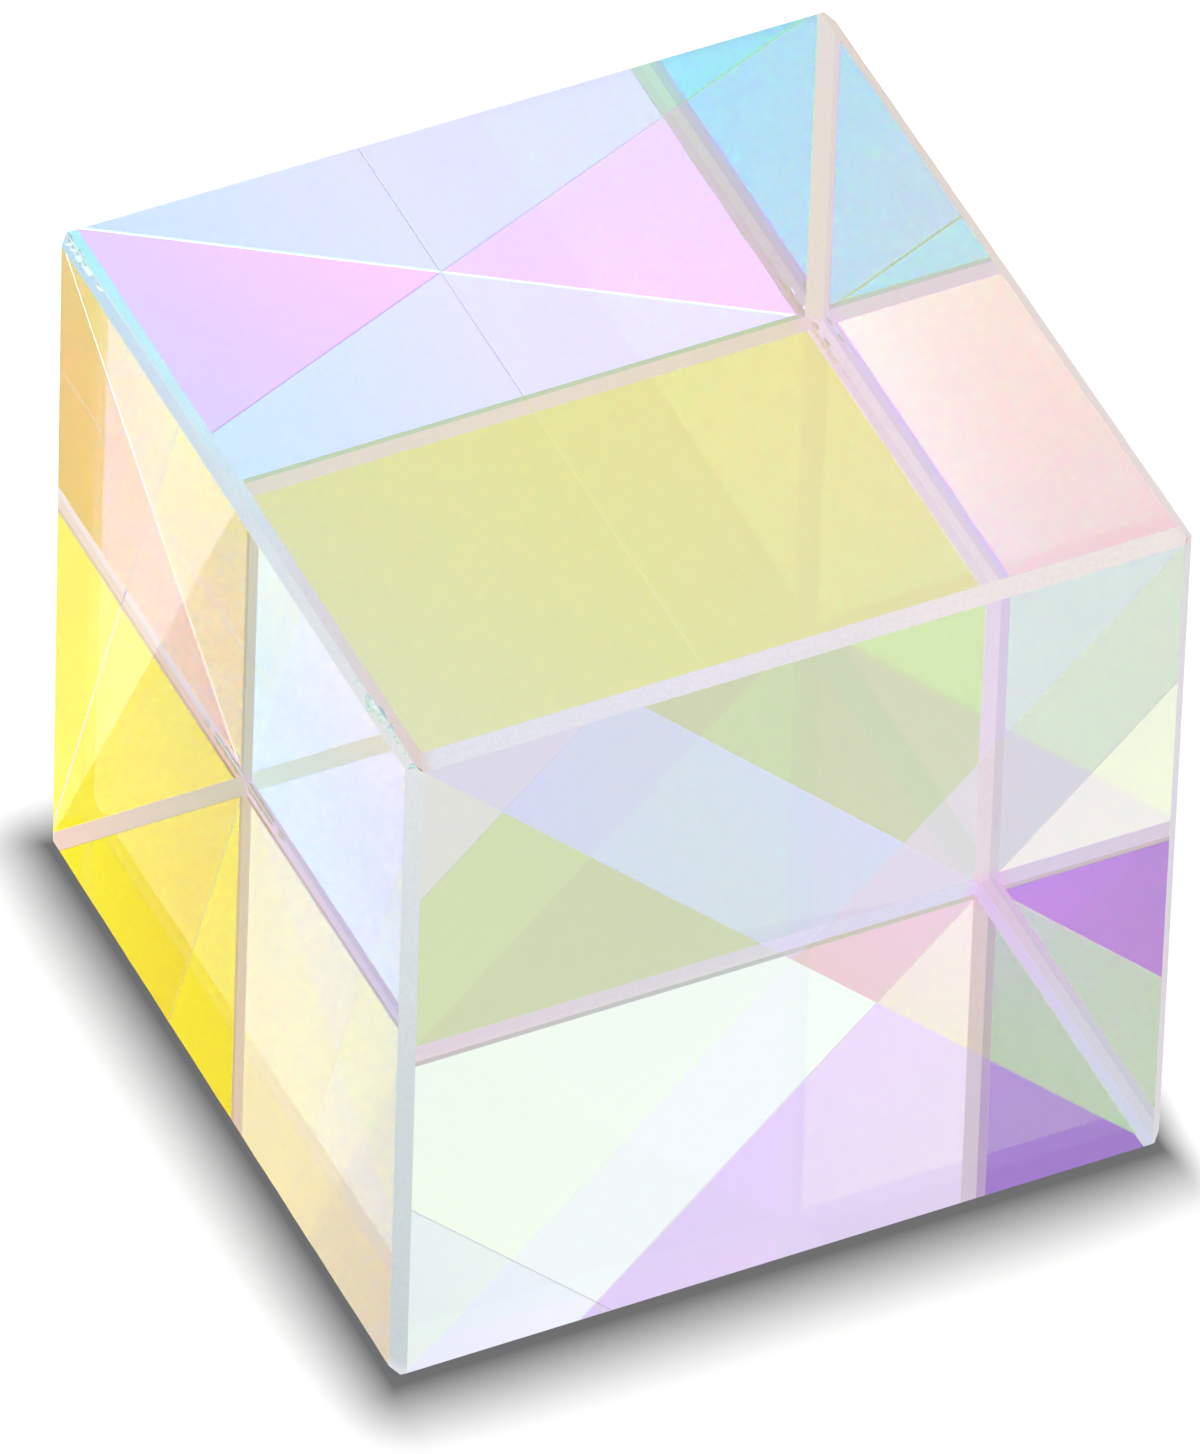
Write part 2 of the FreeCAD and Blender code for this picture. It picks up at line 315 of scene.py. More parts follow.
class StudioSettings(bpy.types.PropertyGroup):
    """Paper and camera."""

    paper: colour_property("Paper", "Sheet under the cube", (0.86, 0.86, 0.86))
    shade: colour_property("Shade", "Paper at the cube's foot, in its contact shade", (0.14, 0.14, 0.142))
    camera_place: FloatVectorProperty(name="Camera place", description="Where the lens is",
                                      default=(-246.021 * MM, -500.139 * MM, 537.700 * MM),
                                      subtype="TRANSLATION", unit="LENGTH")
    camera_aim: FloatVectorProperty(name="Camera aim", description="Point in the middle of the picture",
                                    default=(-0.649 * MM, -0.517 * MM, 11.706 * MM),
                                    subtype="TRANSLATION", unit="LENGTH")
    camera_roll: FloatProperty(name="Camera roll", description="Turn about the line of sight",
                               default=math.radians(-1.96), subtype="ANGLE")
    focal_length: FloatProperty(name="Focal length", description="For a sensor 36 mm on its long side",
                                default=645.5, unit="CAMERA")


def node_tree(name):
    """A new material with an empty node tree and its output node."""
    material = bpy.data.materials.new(name)
    material.use_nodes = True
    tree = material.node_tree
    tree.nodes.clear()
    return material, tree, tree.nodes.new("ShaderNodeOutputMaterial")


def add_math(tree, operation, a, b=None):
    """A Math node whose inputs are sockets or numbers."""
    node = tree.nodes.new("ShaderNodeMath")
    node.operation = operation
    for socket, source in zip(node.inputs, (a, b)):
        if source is None:
            continue
        if isinstance(source, (int, float)):
            socket.default_value = source
        else:
            tree.links.new(source, socket)
    return node.outputs["Value"]


def add_dot(tree, vector, direction):
    """The part of a vector socket that lies along a direction."""
    node = tree.nodes.new("ShaderNodeVectorMath")
    node.operation = "DOT_PRODUCT"
    tree.links.new(vector, node.inputs[0])
    node.inputs[1].default_value = direction
    return node.outputs["Value"]


def add_noise(tree, coords, scale, detail):
    """Noise in object coordinates, as its 0..1 value."""
    noise = tree.nodes.new("ShaderNodeTexNoise")
    noise.inputs["Scale"].default_value = scale
    noise.inputs["Detail"].default_value = detail
    tree.links.new(coords.outputs["Object"], noise.inputs["Vector"])
    return noise.outputs["Fac"]


def add_ramp(tree, factor, stops):
    """A colour ramp through (position, colour) stops."""
    node = tree.nodes.new("ShaderNodeValToRGB")
    elements = node.color_ramp.elements
    while len(elements) > 1:
        elements.remove(elements[-1])
    elements[0].position, elements[0].color = stops[0][0], (*stops[0][1], 1)
    for position, colour in stops[1:]:
        elements.new(position).color = (*colour, 1)
    tree.links.new(factor, node.inputs["Fac"])
    return node.outputs["Color"]


def add_span(tree, value, low, high, smooth=False):
    """Turns low..high into 0..1 and holds it there beyond."""
    node = tree.nodes.new("ShaderNodeMapRange")
    if smooth:
        node.interpolation_type = "SMOOTHSTEP"
    tree.links.new(value, node.inputs["Value"])
    node.inputs["From Min"].default_value = low
    node.inputs["From Max"].default_value = high
    return node.outputs["Result"]


def add_mix(tree, factor, a, b):
    """A colour mix of two colour sockets."""
    node = tree.nodes.new("ShaderNodeMix")
    node.data_type = "RGBA"
    tree.links.new(factor, node.inputs["Factor"])
    tree.links.new(a, node.inputs["A"])
    tree.links.new(b, node.inputs["B"])
    return node.outputs["Result"]


def add_shader_mix(tree, factor, a, b):
    """A mix of two shaders, whose factor is a socket or a number."""
    node = tree.nodes.new("ShaderNodeMixShader")
    if isinstance(factor, float):
        node.inputs["Fac"].default_value = factor
    else:
        tree.links.new(factor, node.inputs["Fac"])
    tree.links.new(a, node.inputs[1])
    tree.links.new(b, node.inputs[2])
    return node.outputs["Shader"]


def polished_glass(name, axis, tints):
    """Clear polished face: refracts and reflects by Fresnel, and tints what it reflects back inside.

    The tint stands for the turn of polarisation in an inside reflection, which the coatings show
    as colour. It depends on the ray's slant to the axis, the cosine of the angle between them.
    """
    material, tree, output = node_tree(name)
    fresnel = tree.nodes.new("ShaderNodeFresnel")
    fresnel.inputs["IOR"].default_value = GLASS_INDEX
    refraction = tree.nodes.new("ShaderNodeBsdfRefraction")
    refraction.inputs["IOR"].default_value = GLASS_INDEX
    refraction.inputs["Roughness"].default_value = 0.0
    refraction.inputs["Color"].default_value = (1, 1, 1, 1)
    mirror = tree.nodes.new("ShaderNodeBsdfAnisotropic")
    mirror.inputs["Roughness"].default_value = 0.0
    geometry = tree.nodes.new("ShaderNodeNewGeometry")
    direction = tree.nodes.new("ShaderNodeCombineXYZ")
    for socket, part in zip(direction.inputs, axis):
        socket.default_value = part
    weight = tree.nodes.new("ShaderNodeLayerWeight")
    weight.inputs["Blend"].default_value = 0.5
    tree.links.new(direction.outputs["Vector"], weight.inputs["Normal"])
    stops = [(1 - slant, tint) for slant, tint in zip(TINT_SLANTS, tints)]
    inside = add_ramp(tree, weight.outputs["Facing"], sorted(stops))
    tint = tree.nodes.new("ShaderNodeMix")
    tint.data_type = "RGBA"
    tree.links.new(geometry.outputs["Backfacing"], tint.inputs["Factor"])
    tint.inputs["A"].default_value = (1, 1, 1, 1)
    tree.links.new(inside, tint.inputs["B"])
    tree.links.new(tint.outputs["Result"], mirror.inputs["Color"])
    mix = add_shader_mix(
        tree, fresnel.outputs["Fac"], refraction.outputs["BSDF"], mirror.outputs["BSDF"])
    tree.links.new(mix, output.inputs["Surface"])
    return material


def clear_joint(name):
    """A cemented face: the light passes straight on."""
    material, tree, output = node_tree(name)
    clear = tree.nodes.new("ShaderNodeBsdfTransparent")
    clear.inputs["Color"].default_value = (1, 1, 1, 1)
    tree.links.new(clear.outputs["BSDF"], output.inputs["Surface"])
    return material


def add_ground_skin(tree):
    """A fine-ground surface: a pale skin that scatters light, over rough glass.

    From outside the skin reflects the light, and from inside it lets it through. Its two colours
    are point colours of the mesh: the bevel's tint with painted light, the coloured light from the
    coatings painted in, and a fine grain on top.
    """
    coords = tree.nodes.new("ShaderNodeTexCoord")
    noise = add_noise(tree, coords, GRAIN_SCALE, 2)
    grain = add_ramp(tree, noise, [(0.3, (0.93, 0.93, 0.94)), (0.7, (1.0, 1.0, 1.0))])
    geometry = tree.nodes.new("ShaderNodeNewGeometry")
    shaders = []
    kinds = ("ShaderNodeBsdfDiffuse", "ShaderNodeBsdfTranslucent")
    # The point colours hold the bevels' tint and painted light, as seen from outside and from inside.
    for tint, kind in zip(("outside_tint_and_painted_light", "inside_tint_and_painted_light"), kinds):
        colour = tree.nodes.new("ShaderNodeAttribute")
        colour.attribute_name = tint
        blend = tree.nodes.new("ShaderNodeMix")
        blend.data_type = "RGBA"
        blend.blend_type = "MULTIPLY"
        blend.inputs["Factor"].default_value = 1.0
        tree.links.new(colour.outputs["Color"], blend.inputs["A"])
        tree.links.new(grain, blend.inputs["B"])
        shader = tree.nodes.new(kind)
        tree.links.new(blend.outputs["Result"], shader.inputs["Color"])
        shaders.append(shader)
    scatter = add_shader_mix(
        tree, geometry.outputs["Backfacing"], shaders[0].outputs["BSDF"], shaders[1].outputs["BSDF"])
    rough = tree.nodes.new("ShaderNodeBsdfGlass")
    rough.inputs["IOR"].default_value = GLASS_INDEX
    rough.inputs["Roughness"].default_value = 0.3
    return add_shader_mix(tree, 0.9, rough.outputs["BSDF"], scatter)


def ground_glass(name):
    """The finish of the ground bevels, with the painted light held in their point colours."""
    material, tree, output = node_tree(name)
    tree.links.new(add_ground_skin(tree), output.inputs["Surface"])
    return material


def add_film_rims(tree, across, body):
    """Finishes a film's rims on the long bevels as pale lines, and leaves the rest to its body.

    Such a rim has its normal neither along Y nor across the joint, and lies further from the
    cube's middle axis than half a side.
    """
    geometry = tree.nodes.new("ShaderNodeNewGeometry")
    coords = tree.nodes.new("ShaderNodeTexCoord")
    normal, place = geometry.outputs["True Normal"], coords.outputs["Object"]
    flat = add_math(tree, "GREATER_THAN", add_math(tree, "ABSOLUTE", add_dot(tree, normal, across)), 0.5)
    along = (-across.z, 0, across.x)
    reach = add_math(tree, "SUBTRACT", add_dot(tree, place, along), Vector(along).dot(MIDDLE))
    far_out = add_math(tree, "GREATER_THAN", add_math(tree, "ABSOLUTE", reach), HALF)
    end = add_math(tree, "GREATER_THAN", add_math(tree, "ABSOLUTE", add_dot(tree, normal, (0, 1, 0))), 0.5)
    sideways = add_math(tree, "SUBTRACT", 1.0, add_math(tree, "MAXIMUM", flat, end))
    rim = add_math(tree, "MULTIPLY", far_out, sideways)
    depth = add_span(tree, add_dot(tree, place, (0, 1, 0)), -HALF, HALF)
    colour = add_ramp(tree, depth, [(0.0, (0.70, 0.74, 0.78)), (1.0, (0.85, 0.93, 0.97))])
    outside = tree.nodes.new("ShaderNodeBsdfDiffuse")
    inside = tree.nodes.new("ShaderNodeBsdfTranslucent")
    for shader in (outside, inside):
        tree.links.new(colour, shader.inputs["Color"])
        tree.links.new(normal, shader.inputs["Normal"])
    pale = add_shader_mix(
        tree, geometry.outputs["Backfacing"], outside.outputs["BSDF"], inside.outputs["BSDF"])
    return add_shader_mix(tree, rim, body, pale)


def cement_film(name, across):
    """A cement film: clear, with its rims finished like the glass round it."""
    material, tree, output = node_tree(name)
    clear = tree.nodes.new("ShaderNodeBsdfTransparent")
    clear.inputs["Color"].default_value = (1, 1, 1, 1)
    tree.links.new(add_film_rims(tree, across, clear.outputs["BSDF"]), output.inputs["Surface"])
    return material


def chipped_glass(name, pale):
    """A shell-like break: rippled glass mixed with a diffuse pale bluish colour, painted light for the
    glint that the chips catch.
    """
    material, tree, output = node_tree(name)
    coords = tree.nodes.new("ShaderNodeTexCoord")
    bump = tree.nodes.new("ShaderNodeBump")
    bump.inputs["Strength"].default_value = 0.5
    bump.inputs["Distance"].default_value = 0.02 * MM
    tree.links.new(add_noise(tree, coords, RIPPLE_SCALE, 2), bump.inputs["Height"])
    glass = tree.nodes.new("ShaderNodeBsdfGlass")
    glass.inputs["IOR"].default_value = GLASS_INDEX
    glass.inputs["Roughness"].default_value = 0.08
    tree.links.new(bump.outputs["Normal"], glass.inputs["Normal"])
    # Painted glint: a diffuse pale bluish colour that stands for the light the chips catch.
    painted_glint = tree.nodes.new("ShaderNodeBsdfDiffuse")
    painted_glint.inputs["Color"].default_value = (*pale, 1)
    tree.links.new(bump.outputs["Normal"], painted_glint.inputs["Normal"])
    mix = add_shader_mix(tree, 0.6, glass.outputs["BSDF"], painted_glint.outputs["BSDF"])
    tree.links.new(mix, output.inputs["Surface"])
    return material


def add_coating_colour(tree, facing, depth, reach, table):
    """A coating's colour by angle, drifting over the plate as its films get thicker or thinner.

    Each row of the table gives an angle's colour and its drift along Y and along the joint. One
    ramp serves each corner of the plate, and the colour between them is mixed by place.
    """
    stops = [1 - math.cos(math.radians(angle)) for angle in COATING_ANGLES]
    corners = []
    for out in (-1, 1):
        for along in (-1, 1):
            colours = table[:, 0] * np.exp(along * table[:, 1] + out * table[:, 2])
            corners.append(add_ramp(tree, facing, list(zip(stops, np.minimum(colours, 1).tolist()))))
    near = add_mix(tree, depth, corners[0], corners[1])
    far = add_mix(tree, depth, corners[2], corners[3])
    return add_mix(tree, reach, near, far)


def coating_table(settings, verb, rows):
    """A coating's rows as an array, with the user's colours in place of the default ones."""
    table = np.array(rows)
    for row, angle in zip(table, COATING_ANGLES):
        row[0] = getattr(settings, f"{verb}_{int(angle)}")
    return table


def add_crossing_hairline(tree, passed, facing, place):
    """Tints what passes the whole coating just above the middle axis, at a slant of 62 degrees.

    Such a ray runs through the gap between the halves of the crossing coating, which is wider
    here than in a real prism, so the coating stands in for them.
    """
    near = add_math(tree, "LESS_THAN", add_math(
        tree, "ABSOLUTE", add_math(tree, "SUBTRACT", place, CROSSING_HEIGHT)), CROSSING_REACH)
    slanted = add_math(tree, "LESS_THAN", add_math(
        tree, "ABSOLUTE", add_math(tree, "SUBTRACT", facing, CROSSING_FACING)), CROSSING_SPREAD)
    node = tree.nodes.new("ShaderNodeMix")
    node.data_type = "RGBA"
    node.blend_type = "MULTIPLY"
    tree.links.new(add_math(tree, "MULTIPLY", near, slanted), node.inputs["Factor"])
    tree.links.new(passed, node.inputs["A"])
    node.inputs["B"].default_value = (*CROSSING_TINT, 1)
    return node.outputs["Result"]


def dichroic_coating(name, across, passed, mirrored, is_whole):
    """A coating that splits light by colour and angle, on the plate's face next to its prism.

    Facing is one minus the cosine of the angle of incidence, so each angle's colour has its own
    stop on a ramp. The plate's other face lets everything pass.
    """
    material, tree, output = node_tree(name)
    coords = tree.nodes.new("ShaderNodeTexCoord")
    weight = tree.nodes.new("ShaderNodeLayerWeight")
    weight.inputs["Blend"].default_value = 0.5
    facing = weight.outputs["Facing"]
    along_joint = Vector((-across.z, 0, across.x))
    if along_joint.z < 0:
        along_joint.negate()
    depth = add_span(tree, add_dot(tree, coords.outputs["Object"], (0, 1, 0)), -HALF, HALF)
    centre = along_joint.dot(MIDDLE)
    reach = add_span(tree, add_dot(tree, coords.outputs["Object"], along_joint),
                     centre - HALF * math.sqrt(2), centre + HALF * math.sqrt(2))
    clear = tree.nodes.new("ShaderNodeBsdfTransparent")
    passing = add_coating_colour(tree, facing, depth, reach, passed)
    if is_whole:
        place = add_math(tree, "SUBTRACT", add_dot(tree, coords.outputs["Object"], along_joint), centre)
        passing = add_crossing_hairline(tree, passing, facing, place)
    tree.links.new(passing, clear.inputs["Color"])
    mirror = tree.nodes.new("ShaderNodeBsdfAnisotropic")
    mirror.inputs["Roughness"].default_value = 0.0
    tree.links.new(add_coating_colour(tree, facing, depth, reach, mirrored), mirror.inputs["Color"])
    both = tree.nodes.new("ShaderNodeAddShader")
    tree.links.new(clear.outputs["BSDF"], both.inputs[0])
    tree.links.new(mirror.outputs["BSDF"], both.inputs[1])
    open_face = tree.nodes.new("ShaderNodeBsdfTransparent")
    height = add_dot(tree, coords.outputs["Object"], across)
    middle = across.dot(MIDDLE) + COATING_HEIGHT
    geometry = tree.nodes.new("ShaderNodeNewGeometry")
    flat = add_math(tree, "GREATER_THAN", add_math(
        tree, "ABSOLUTE", add_dot(tree, geometry.outputs["True Normal"], across)), 0.5)
    on_coated_face = add_math(tree, "MULTIPLY", add_math(tree, "GREATER_THAN", height, middle), flat)
    mix = add_shader_mix(tree, on_coated_face, open_face.outputs["BSDF"], both.outputs["Shader"])
    tree.links.new(add_film_rims(tree, across, mix), output.inputs["Surface"])
    return material


def ring_outline(from_end, seam, settings):
    """Outline of a prism's section at each distance from its nearer end, as corner arrays.

    The top prism's right half: right-angle edge, tip where the leg meets the long bevel, and the
    bevel's other border on the long face. Near an end the face drops by the rest of the end
    bevel, and the leg reaches over the joint's films but for the rest of the seam bevel.
    """
    drop = np.maximum(0.0, settings.end_bevel - from_end)
    draw = np.where(from_end < FILM_INSET * 0.99, 0.0, settings.joint_gap / math.sqrt(2))
    draw = draw + math.sqrt(2) * np.maximum(0.0, seam - from_end)
    face = HALF - drop
    tip_x = np.minimum((2 * HALF - LONG_BEVEL - draw) / 2, face - draw)
    border_x = np.minimum(2 * HALF - LONG_BEVEL - face, face - draw)
    return draw, tip_x, tip_x + draw, border_x, face


def smooth_waver(values, seed):
    """A slow irregular curve in -1..1: a sum of sines of seeded phase, with shorter ones weaker."""
    rng = np.random.default_rng(seed)
    total = np.zeros_like(values)
    for octave, wave in enumerate((3.1, 1.3, 0.47, 0.21)):
        phase = rng.uniform(0, 2 * math.pi)
        total += np.sin(values / (wave * MM) * 2 * math.pi + phase) * 0.6 ** octave
    return total / 2.2


def chip_depth(ys, widths, chips):
    """How deep the chips have bitten at each place along the seam and across the bevel.

    Each chip is (place along Y, half length, half width, depth), a bowl whose rim is ragged.
    """
    depth = np.zeros((len(ys), widths.shape[1]))
    for number, (place, half_length, half_width, bite) in enumerate(chips):
        along = (ys[:, None] - place) / half_length
        ragged = 1 + 0.25 * smooth_waver(ys * 5 + number * 7 * MM, 40 + number)[:, None]
        bowl = 1 - along ** 2 - (widths / (half_width * ragged)) ** 2
        depth = np.maximum(depth, bite * np.clip(bowl, 0, 1) ** 0.6)
    return depth


def along_edge(stops, places):
    """Colour at each place 0..1 along an edge, straight between evenly spaced stops."""
    stops = np.array(stops)
    spots = np.linspace(0, 1, len(stops))
    return np.stack([np.interp(places, spots, stops[:, channel]) for channel in range(3)], axis=-1)


def point_tints_and_painted_light(edges, part, ys, from_end, across, settings):
    """A colour for each point: its edge's tint with painted light from the coatings, by place along it, for
    the outside or the inside.

    The long bevels go from front to back, the end bevels from the left seam to the right seam.
    """
    pale = (tuple(settings.bevel_colour),)
    rows, ring = across.shape
    by_y = (ys + HALF) / (2 * HALF)
    colours = np.zeros((rows, ring, 3))
    half_ring = ring // 2
    colours[:, :half_ring] = along_edge(edges.get("right", (pale, pale))[part], by_y)[:, None]
    colours[:, half_ring:] = along_edge(edges.get("left", (pale, pale))[part], by_y)[:, None]
    face = np.zeros((rows, ring), dtype=bool)
    face[:, 3 + STRIPS:-3 - STRIPS + 1] = True
    for name, side in (("front", ys < 0), ("back", ys > 0)):
        rim = face & (side & (from_end <= settings.end_bevel * 1.001))[:, None]
        end = along_edge(edges.get(name, (pale, pale))[part], (across + 1) / 2)
        colours = np.where(rim[:, :, None], end, colours)
    return colours


def prism_surface(settings, seed, chips, edges):
    """A closed prism: the section's outline carried along Y, with a flat cap at each end.

    Each ring runs from the right-angle edge up one leg, over the bevel, across the long face and
    back down. Borders of the ground bevels waver in the plane of the polished face beside them.
    Chips along a seam push the bevel's points in along its own normal, so the leg stays flat.
    """
    near_end = np.array([
        0.0, settings.front_seam, settings.seam_bevel, FILM_INSET - FILM_STEP, FILM_INSET,
        settings.end_bevel - LONG_BEVEL / 2, settings.end_bevel - 0.05 * MM, settings.end_bevel])
    fine = np.linspace(settings.end_bevel + 0.04 * MM, CHIP_STRETCH, CHIP_ROWS)
    middle = np.linspace(CHIP_STRETCH + 0.3 * MM, HALF, PLAIN_ROWS)
    from_end = np.concatenate([near_end, fine, middle])
    ys = np.concatenate([from_end - HALF, (HALF - from_end)[-2::-1]])
    from_end = HALF - np.abs(ys)
    seam = np.where(ys < 0, settings.front_seam, settings.seam_bevel)
    draw, tip_x, tip_z, border_x, face = ring_outline(from_end, seam, settings)

    wander = smooth_waver(ys, seed) * settings.bevel_waver
    inner = from_end >= settings.end_bevel
    border_x = border_x + np.where(inner, wander, 0.0)

    # Columns over the bevel, from the seam (0) to the border (1), and their distance from the seam.
    strips = np.linspace(0, 1, STRIPS + 1)
    bevel_x = tip_x[:, None] + (border_x - tip_x)[:, None] * strips
    bevel_z = tip_z[:, None] + (face - tip_z)[:, None] * strips
    widths = np.hypot(bevel_x - tip_x[:, None], bevel_z - tip_z[:, None])
    bites = {sign: chip_depth(ys, widths, chips.get(sign, ())) for sign in (1, -1)}
    for depth in bites.values():
        depth[:, -1] = 0
        depth *= (from_end > seam)[:, None]
    right_x, right_z = bevel_x - bites[1] / math.sqrt(2), bevel_z - bites[1] / math.sqrt(2)
    left_x, left_z = -(bevel_x - bites[-1] / math.sqrt(2)), bevel_z - bites[-1] / math.sqrt(2)
    across = np.linspace(1, -1, FACE_COLUMNS)[1:-1]
    zeros = np.zeros_like(ys)
    x = np.column_stack([zeros, tip_x / 2, right_x, border_x[:, None] * across,
                         left_x[:, ::-1], -tip_x / 2])
    z = np.column_stack([draw, (tip_z + draw) / 2, right_z, np.repeat(face[:, None], len(across), axis=1),
                         left_z[:, ::-1], (tip_z + draw) / 2])
    y = np.repeat(ys[:, None], x.shape[1], axis=1)

    # Where a column lies: 0 leg, 1 bevel, 2 long face. A quad takes the kind of its first column.
    kinds = np.array([0, 0] + [1] * STRIPS + [2] * (len(across) + 1) + [1] * STRIPS + [0, 0])
    rows, ring = x.shape
    index = np.arange(rows * ring).reshape(rows, ring)
    following = np.roll(index, -1, axis=1)
    quads = np.stack([index[:-1], index[1:], following[1:], following[:-1]], axis=-1).reshape(-1, 4)
    quad_kinds = np.tile(kinds, rows - 1)
    band_from_end = np.minimum(from_end[:-1], from_end[1:])
    in_end_bevel = np.repeat(band_from_end < settings.end_bevel * 0.999, ring)
    in_seam_bevel = np.repeat(band_from_end < np.maximum(seam[:-1], seam[1:]) * 0.999, ring)
    ground = (quad_kinds == 1) | ((quad_kinds == 2) & in_end_bevel) | ((quad_kinds == 0) & in_seam_bevel)
    bitten = np.zeros((rows, ring))
    bitten[:, 2:3 + STRIPS] = bites[1]
    bitten[:, -2 - STRIPS:-1] = bites[-1][:, ::-1]
    broken = np.max(bitten.reshape(-1)[quads], axis=1) > BREAK_DEPTH
    materials = np.where(ground, np.where(broken & (quad_kinds == 1), CHIP, GROUND),
                         np.where(quad_kinds == 0, CEMENTED, LONG_FACE))
    points = np.stack([x, y, z], axis=-1).reshape(-1, 3)
    share = x / border_x[:, None]
    # Each point's bevel tint with painted light: coloured light from the coatings painted into its colour.
    tints = [point_tints_and_painted_light(edges, part, ys, from_end, share, settings).reshape(-1, 3) for part in (0, 1)]
    return points, quads, materials, index, tints


def add_prism_piece(node, turn_deg, settings, materials, seed):
    """Makes one prism's mesh, turns its points into place and lets it stand for its CAD node."""
    points, quads, quad_materials, index, tints = prism_surface(
        settings, seed, CHIPS.get(node, {}), BEVEL_TINTS_AND_PAINTED_LIGHT.get(node, {}))
    turn = np.array(Matrix.Rotation(math.radians(turn_deg), 3, "Y")).round(12)
    points = points @ turn.T + np.array(MIDDLE)
    caps = [index[0].tolist(), index[-1][::-1].tolist()]
    mesh = bpy.data.meshes.new(node + "_glass")
    mesh.from_pydata(points, [], quads.tolist() + caps)
    face_materials = np.append(quad_materials, [FRONT_END, BACK_END]).astype(np.int32)
    mesh.polygons.foreach_set("material_index", face_materials)
    for material in materials:
        mesh.materials.append(material)
    # Point colours with the bevels' tint and painted light, for the outside and the inside.
    for name, colours in zip(("outside_tint_and_painted_light", "inside_tint_and_painted_light"), tints):
        layer = mesh.color_attributes.new(name, "FLOAT_COLOR", "POINT")
        opaque = np.column_stack([colours, np.ones(len(colours))]).astype(np.float32)
        layer.data.foreach_set("color", opaque.ravel())
    mesh.validate()
    piece = bpy.data.objects.new(node + "_glass", mesh)
    bpy.context.scene.collection.objects.link(piece)
    weld(mesh)
    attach(piece, "root")
    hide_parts(node)
    return piece


def weld(mesh):
    """Joins points that fall together where a bevel runs out, and drops the faces this empties."""
    work = bmesh.new()
    work.from_mesh(mesh)
    bmesh.ops.remove_doubles(work, verts=work.verts, dist=WELD_DISTANCE)
    bmesh.ops.dissolve_degenerate(work, edges=work.edges, dist=WELD_DISTANCE)
    bmesh.ops.recalc_face_normals(work, faces=work.faces)
    is_closed = all(edge.is_manifold for edge in work.edges)
    work.to_mesh(mesh)
    work.free()
    if not is_closed:
        raise RuntimeError(f"{mesh.name} isn't a closed surface")


class PRISM_OT_glass(bpy.types.Operator):
    """Build the four prisms, each standing for its node of the frame"""

    bl_idname = "prism.glass"
    bl_label = "Four prisms"

    def execute(self, context):
        settings = context.scene.prism_sizes
        ground = ground_glass("ground_bevel")
        cemented = clear_joint("cemented_face")
        chip = chipped_glass("chipped_edge", settings.chip_painted_light)
        for seed, (node, turn) in enumerate(PRISM_TURNS.items()):
            outwards = Matrix.Rotation(math.radians(turn), 3, "Y") @ Vector((0, 0, 1))
            face = polished_glass(node + "_long_face", outwards, LONG_FACE_TINTS[node])
            front_end = polished_glass(node + "_front_end", (1, 0, 0), FRONT_END_TINTS[node])
            back_end = polished_glass(node + "_back_end", (1, 0, 0), BACK_END_TINTS[node])
            add_prism_piece(node, turn, settings, (face, front_end, back_end, ground, cemented, chip), seed)
        return {"FINISHED"}


def finish_film(name, finish):
    """Gives one of the frame's films its material."""
    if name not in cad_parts:
        raise RuntimeError(f"The frame has no {name}")
    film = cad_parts[name].data
    film.materials.clear()
    film.materials.append(finish)


class PRISM_OT_coatings(bpy.types.Operator):
    """Give the crossed coatings their finish"""

    bl_idname = "prism.coatings"
    bl_label = "Crossed coatings"

    def execute(self, context):
        settings = context.scene.prism_whole_coating
        finish_film("whole_coating", dichroic_coating(
            "whole_joint_coating", WHOLE_ACROSS, coating_table(settings, "passed", WHOLE_PASSED),
            coating_table(settings, "mirrored", WHOLE_MIRRORED), is_whole=True))
        settings = context.scene.prism_halves_coating
        halves = dichroic_coating(
            "half_joint_coating", HALVES_ACROSS, coating_table(settings, "passed", HALVES_PASSED),
            coating_table(settings, "mirrored", HALVES_MIRRORED), is_whole=False)
        for name in ("upper_half_coating", "lower_half_coating"):
            finish_film(name, halves)
        return {"FINISHED"}


class PRISM_OT_cement(bpy.types.Operator):
    """Give the cement films their finish"""

    bl_idname = "prism.cement"
    bl_label = "Cement films"

    def execute(self, context):
        finish_film("whole_cement", cement_film("whole_joint_cement", WHOLE_ACROSS))
        halves = cement_film("half_joint_cement", HALVES_ACROSS)
        for name in ("upper_half_cement", "lower_half_cement"):
            finish_film(name, halves)
        return {"FINISHED"}


